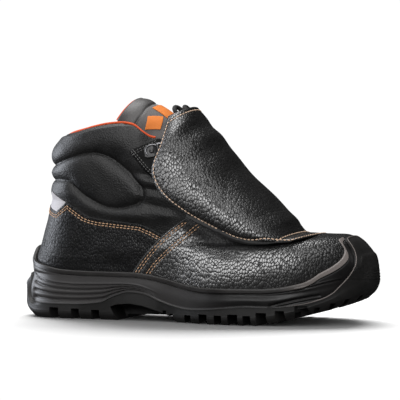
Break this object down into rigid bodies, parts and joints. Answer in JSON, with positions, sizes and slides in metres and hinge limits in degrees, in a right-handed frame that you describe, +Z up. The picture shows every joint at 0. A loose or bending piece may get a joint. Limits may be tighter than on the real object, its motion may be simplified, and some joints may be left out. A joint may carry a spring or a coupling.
{
  "type": "welding boot",
  "caption": "Ankle-high leather work boot with a padded collar, a wide instep flap over the laces, and a lugged rubber sole with toe and heel wraps.",
  "frame": {"origin": "on the floor, under the centre of the boot's box", "axes": "+X towards the toe, -Y towards the outer (lateral) side, +Z up"},
  "size_m": [0.3067, 0.1145, 0.1842],
  "materials": {
    "outsole_rubber": "matte, moulded",
    "midsole_rubber": "satin, moulded",
    "insole_board": "matte felt",
    "upper_leather": "pebbled, satin",
    "tongue_leather": "smooth, soft",
    "flap_leather": "pebbled, satin",
    "lace": "woven",
    "lace_loop_metal": "black, satin"
  },
  "bodies": {
    "root": {"insole": "insole_board", "instep_flap": "flap_leather", "lace_1": "lace", "lace_2": "lace", "lace_3": "lace", "lace_4": "lace", "lace_5": "lace", "lace_knot": "lace", "lace_loop_inner": "lace", "lace_loop_outer": "lace", "lace_ring_inner_1": "lace_loop_metal", "lace_ring_inner_2": "lace_loop_metal", "lace_ring_inner_3": "lace_loop_metal", "lace_ring_inner_4": "lace_loop_metal", "lace_ring_inner_5": "lace_loop_metal", "lace_ring_outer_1": "lace_loop_metal", "lace_ring_outer_2": "lace_loop_metal", "lace_ring_outer_3": "lace_loop_metal", "lace_ring_outer_4": "lace_loop_metal", "lace_ring_outer_5": "lace_loop_metal", "midsole": "midsole_rubber", "outsole": "outsole_rubber", "tongue": "tongue_leather", "upper": "upper_leather"}
  },
  "joints": []
}
